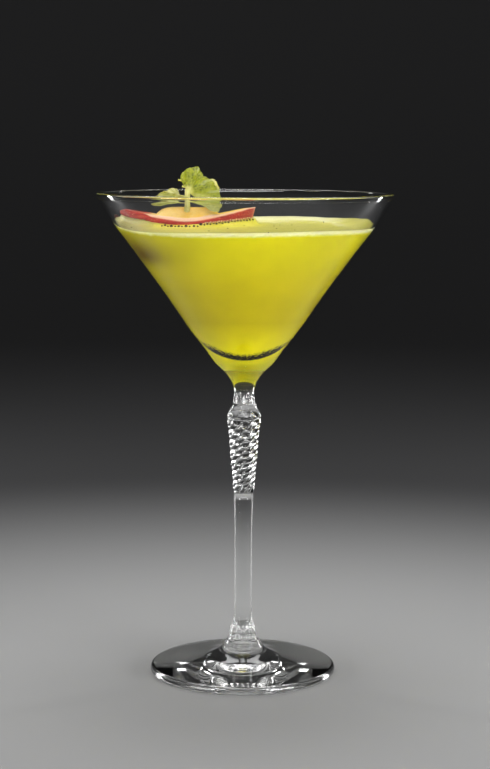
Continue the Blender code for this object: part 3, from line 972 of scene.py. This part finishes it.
def large_leaf_point(angle, share):
    """Blade seen from the front as a fan about the fork; its tip leans back, its sides forward."""
    ragged = 0.035 * noise.noise(Vector((angle * 0.35, 0.0, 7.0)))
    teeth = 1 + (0.03 * abs(math.sin(math.radians(angle * 7))) + ragged) * share ** 6
    reach = reach_at(LARGE_LEAF_REACH, angle) * share * teeth
    off_rib = math.radians(angle - LARGE_LEAF_RIB)
    lean = 0.0050 * math.cos(off_rib) - 0.0045 * math.sin(off_rib) ** 2
    ripple = 0.0006 * math.sin(math.radians(angle * 13)) * share
    depth = lean * share * share + ripple * share
    turn = math.radians(angle)
    return STEM_FORK + Vector((reach * math.cos(turn), depth, reach * math.sin(turn)))


def small_leaf_point(angle, share):
    """Blade that leans away to the back, so that the front sees it at a low angle."""
    ragged = 0.05 * noise.noise(Vector((angle * 0.30, 0.0, 3.0)))
    teeth = 1 + (0.04 * abs(math.sin(math.radians(angle * 9))) + ragged) * share ** 6
    reach = reach_at(SMALL_LEAF_REACH, angle) * share * teeth
    turn = math.radians(angle)
    up = reach * math.sin(turn)
    ripple = 0.0005 * math.sin(math.radians(angle * 17)) * share * share
    depth = 0.55 * reach + 0.7 * up + ripple
    return SMALL_LEAF_BASE + Vector((reach * math.cos(turn), depth, up))


def vein_relief(spot, along, across, spacing):
    """Height of the blade between its veins, and how near a point is to a vein."""
    slanted = along - abs(across) * 0.85 + 0.0005 * noise.noise(spot * 500)
    side_vein = abs(math.sin(math.pi * slanted / spacing))
    rib = min(abs(across) / 0.0005, 1.0)
    near = noise.voronoi(Vector((spot.x, 0, spot.z)) * 850)[0]
    crease = min((near[1] - near[0]) / 0.45, 1.0)
    raised = (0.35 + 0.65 * min(side_vein * 1.5, 1.0)) * rib * (0.35 + 0.65 * crease)
    return raised, max(0.75 * (1 - crease), 1 - min(side_vein / 0.30, rib))


def leaf_mesh(vertices, faces, vein, pale, point, reaches, rib, spacing, paleness_and_painted_light):
    """Adds a thin crinkled blade, front and back, to lists of vertices, faces and shares."""
    steps, rows = LEAF_STEPS, LEAF_ROWS
    low, high = min(reaches), max(reaches)
    first = len(vertices)
    grid = [[None] * (steps + 1) for _ in range(rows + 1)]
    for row in range(rows + 1):
        share = 0.05 + 0.95 * row / rows
        for step in range(steps + 1):
            angle = low + (high - low) * step / steps
            spot = point(angle, share)
            reach = reach_at(reaches, angle) * share
            off = math.radians(angle - rib)
            raised, near = vein_relief(spot, reach * math.cos(off), reach * math.sin(off), spacing)
            crinkle = noise.noise(spot * 600) * LEAF_CRINKLE
            lift = (raised * LEAF_RELIEF + crinkle) * ease(share, 0.1, 0.4)
            grid[row][step] = spot + Vector((0, -lift, 0))
            vein.append(near)
            # Paleness is partly the leaf's own and partly painted highlight and painted light
            pale.append(max(paleness_and_painted_light(angle, share), 0.7 * (1 - ease(reach, 0.0012, 0.0032))))
    vertices.extend(spot for line in grid for spot in line)
    back_first = len(vertices)
    thick = Vector((0, LEAF_THICKNESS, 0))
    vertices.extend(spot + thick for line in grid for spot in line)
    vein.extend(vein[first:back_first])
    pale.extend(pale[first:back_first])
    width = steps + 1
    offset = back_first - first
    for row in range(rows):
        for step in range(steps):
            a = first + row * width + step
            b, c, d = a + 1, a + 1 + width, a + width
            faces.append((a, d, c, b))
            faces.append((a + offset, b + offset, c + offset, d + offset))
    border = [first + step for step in range(width)]
    border += [first + row * width + steps for row in range(1, rows + 1)]
    border += [first + rows * width + step for step in range(steps - 1, -1, -1)]
    border += [first + row * width for row in range(rows - 1, 0, -1)]
    for a, b in zip(border, border[1:] + border[:1]):
        faces.append((a, b, b + offset, a + offset))


def stalk_mesh(vertices, faces, vein, pale, path, radii, paleness):
    """Adds a stalk with a softly square section along a smooth path."""
    sides = STALK_SIDES
    stations = smooth_path(path, STALK_STEPS)
    rings = []
    for i, centre in enumerate(stations):
        share = i / (len(stations) - 1)
        ahead = stations[min(i + 1, len(stations) - 1)] - stations[max(i - 1, 0)]
        along = ahead.normalized()
        across = along.cross(Vector((0, 1, 0))).normalized()
        around = along.cross(across)
        radius = radii[0] + (radii[1] - radii[0]) * share
        for side in range(sides):
            turn = 2 * math.pi * side / sides
            square = 1 + 0.10 * math.cos(4 * turn)
            swell = 1 + 0.06 * noise.noise(centre * 700 + Vector((side, 0, 0)) * 0.02)
            spread = across * math.cos(turn) + around * math.sin(turn)
            rings.append(centre + spread * radius * square * swell)
    first = len(vertices)
    vertices.append(stations[0])
    vertices.extend(rings)
    vertices.append(stations[-1] + (stations[-1] - stations[-2]) * 0.5)
    faces.extend(tuple(first + i for i in face) for face in turned_faces(len(stations), sides))
    vein.extend([0.0] * (len(rings) + 2))
    pale.extend([paleness] * (len(rings) + 2))


def smooth_path(points, steps):
    """Points on a smooth curve through the given ones in space."""
    places = []
    last = len(points) - 1
    for i in range(last):
        a, b = points[i], points[i + 1]
        before, after = points[max(i - 1, 0)], points[min(i + 2, last)]
        for step in range(steps):
            tangents = ((b - before) / 2, (after - a) / 2)
            places.append(hermite((a, b), tangents, 1.0, step / steps))
    places.append(points[-1])
    return places


def large_leaf_painted_light(angle, share):
    """Painted highlight along the curled edge at the right of the large leaf, and painted light
    that makes its lower lobe lighter.
    """
    edge = 0.85 * ease(share, 0.91, 0.96) * ease(angle, 2, 8) * (1 - ease(angle, 24, 29))
    return max(edge, 0.35 * (1 - ease(angle, -16, -6)))


def small_leaf_curl(angle, share):
    return 0.26 + 0.65 * (1 - ease(angle, 150, 188)) * share


def build_mint():
    vertices, faces, vein, pale = [], [], [], []
    fork = STEM_FORK
    stem = [STEM_FOOT - Vector((0, 0, 0.0004)), (STEM_FOOT + fork) / 2 + Vector((0.0002, 0, 0)),
            fork, fork + Vector((0.0004, 0.0002, 0.0016))]
    stalk_mesh(vertices, faces, vein, pale, stem, STEM_RADII, 0.8)
    branch = [fork - Vector((0, 0, 0.0022)), SMALL_LEAF_BASE,
              SMALL_LEAF_BASE + Vector((-0.0010, 0.0010, 0))]
    stalk_mesh(vertices, faces, vein, pale, branch, BRANCH_RADII, 0.7)
    for angle, share in BUD_ROOTS:
        root = large_leaf_point(angle, share)
        bud = [root, root + Vector((-0.0007, 0, 0.0001)), root + Vector((-0.0013, 0, 0.0003))]
        stalk_mesh(vertices, faces, vein, pale, bud, BUD_RADII, 0.9)
    leaf_mesh(vertices, faces, vein, pale, large_leaf_point, LARGE_LEAF_REACH, LARGE_LEAF_RIB,
              LARGE_LEAF_VEINS, large_leaf_painted_light)
    leaf_mesh(vertices, faces, vein, pale, small_leaf_point, SMALL_LEAF_REACH, SMALL_LEAF_RIB,
              SMALL_LEAF_VEINS, small_leaf_curl)
    piece = add_mesh("mint_sprig_detailed", vertices, faces, [mint_material()])
    add_shares(piece.data, "vein", vein)
    add_shares(piece.data, "pale", pale)
    place_piece(piece, "mint_sprig")


# Studio


def build_floor():
    """Pale round floor that sweeps up far away into a darker wall, alike from every side; its
    fading from pale to dark is a painted pool of light.
    """
    surface = Surface("pale_floor", Roughness=0.6)
    length = surface.node("ShaderNodeVectorMath", [(0, surface.place())], operation="LENGTH")
    # Painted light: pale near the glass and darker far off, a painted pool of light and its falloff
    far = surface.between(length.outputs["Value"], FLOOR_PALE, FLOOR_DARK)
    surface.paint(surface.mix(far, PALE_GREY, DARK_GREY))
    sweep = [(FLOOR_EDGE + SWEEP * math.sin(turn), SWEEP * (1 - math.cos(turn)))
             for turn in np.linspace(0, math.pi / 2, SWEEP_STEPS)]
    profile = [(radius, 0.0) for radius in FLOOR_RINGS] + sweep + [(FLOOR_EDGE + SWEEP, WALL_TOP)]
    columns = FLOOR_COLUMNS
    vertices = [(0.0, 0.0, 0.0)]
    for radius, height in profile:
        for column in range(columns):
            turn = 2 * math.pi * column / columns
            vertices.append((radius * math.cos(turn), radius * math.sin(turn), height))
    faces = [(0, 1 + column, 1 + (column + 1) % columns) for column in range(columns)]
    for row in range(len(profile) - 1):
        for column in range(columns):
            here, beside = 1 + row * columns + column, 1 + row * columns + (column + 1) % columns
            faces.append((here, here + columns, beside + columns, beside))
    floor = add_mesh("floor", vertices, faces, [surface.material])
    floor.location.z = -FLOOR_DROP


def softbox(name, place, size, power):
    light = bpy.data.lights.new(name, "AREA")
    light.shape = "RECTANGLE"
    light.size, light.size_y = size
    light.energy = power
    made = bpy.data.objects.new(name, light)
    bpy.context.scene.collection.objects.link(made)
    made.location = place
    made.rotation_euler = (Vector(place) - Vector(LIGHT_TARGET)).to_track_quat("Z", "Y").to_euler()


def build_studio():
    world = bpy.data.worlds.new("studio")
    bpy.context.scene.world = world
    world.use_nodes = True
    background = world.node_tree.nodes["Background"]
    background.inputs["Color"].default_value = (AMBIENT, AMBIENT, AMBIENT, 1.0)
    background.inputs["Strength"].default_value = 1.0
    for light in LIGHTS:
        softbox(*light)


def build_camera():
    data = bpy.data.cameras.new("camera")
    data.lens = CAMERA_LENS
    data.sensor_width = SENSOR
    data.sensor_fit = "AUTO"
    data.clip_start = CAMERA_CLIP
    camera = bpy.data.objects.new("camera", data)
    bpy.context.scene.collection.objects.link(camera)
    aim = Matrix.Rotation(math.pi / 2 - CAMERA_TILT, 4, "X") @ Matrix.Rotation(CAMERA_ROLL, 4, "Z")
    camera.matrix_world = Matrix.Translation(CAMERA_PLACE) @ aim
    bpy.context.scene.camera = camera


def main():
    bpy.context.scene.view_settings.view_transform = "Standard"
    cycles = bpy.context.scene.cycles
    cycles.max_bounces = MAX_BOUNCES
    cycles.transmission_bounces = MAX_BOUNCES
    cycles.glossy_bounces = GLOSSY_BOUNCES
    build_camera()
    build_glass()
    build_drink()
    build_bubbles()
    build_fruit()
    build_mint()
    build_floor()
    build_studio()


main()
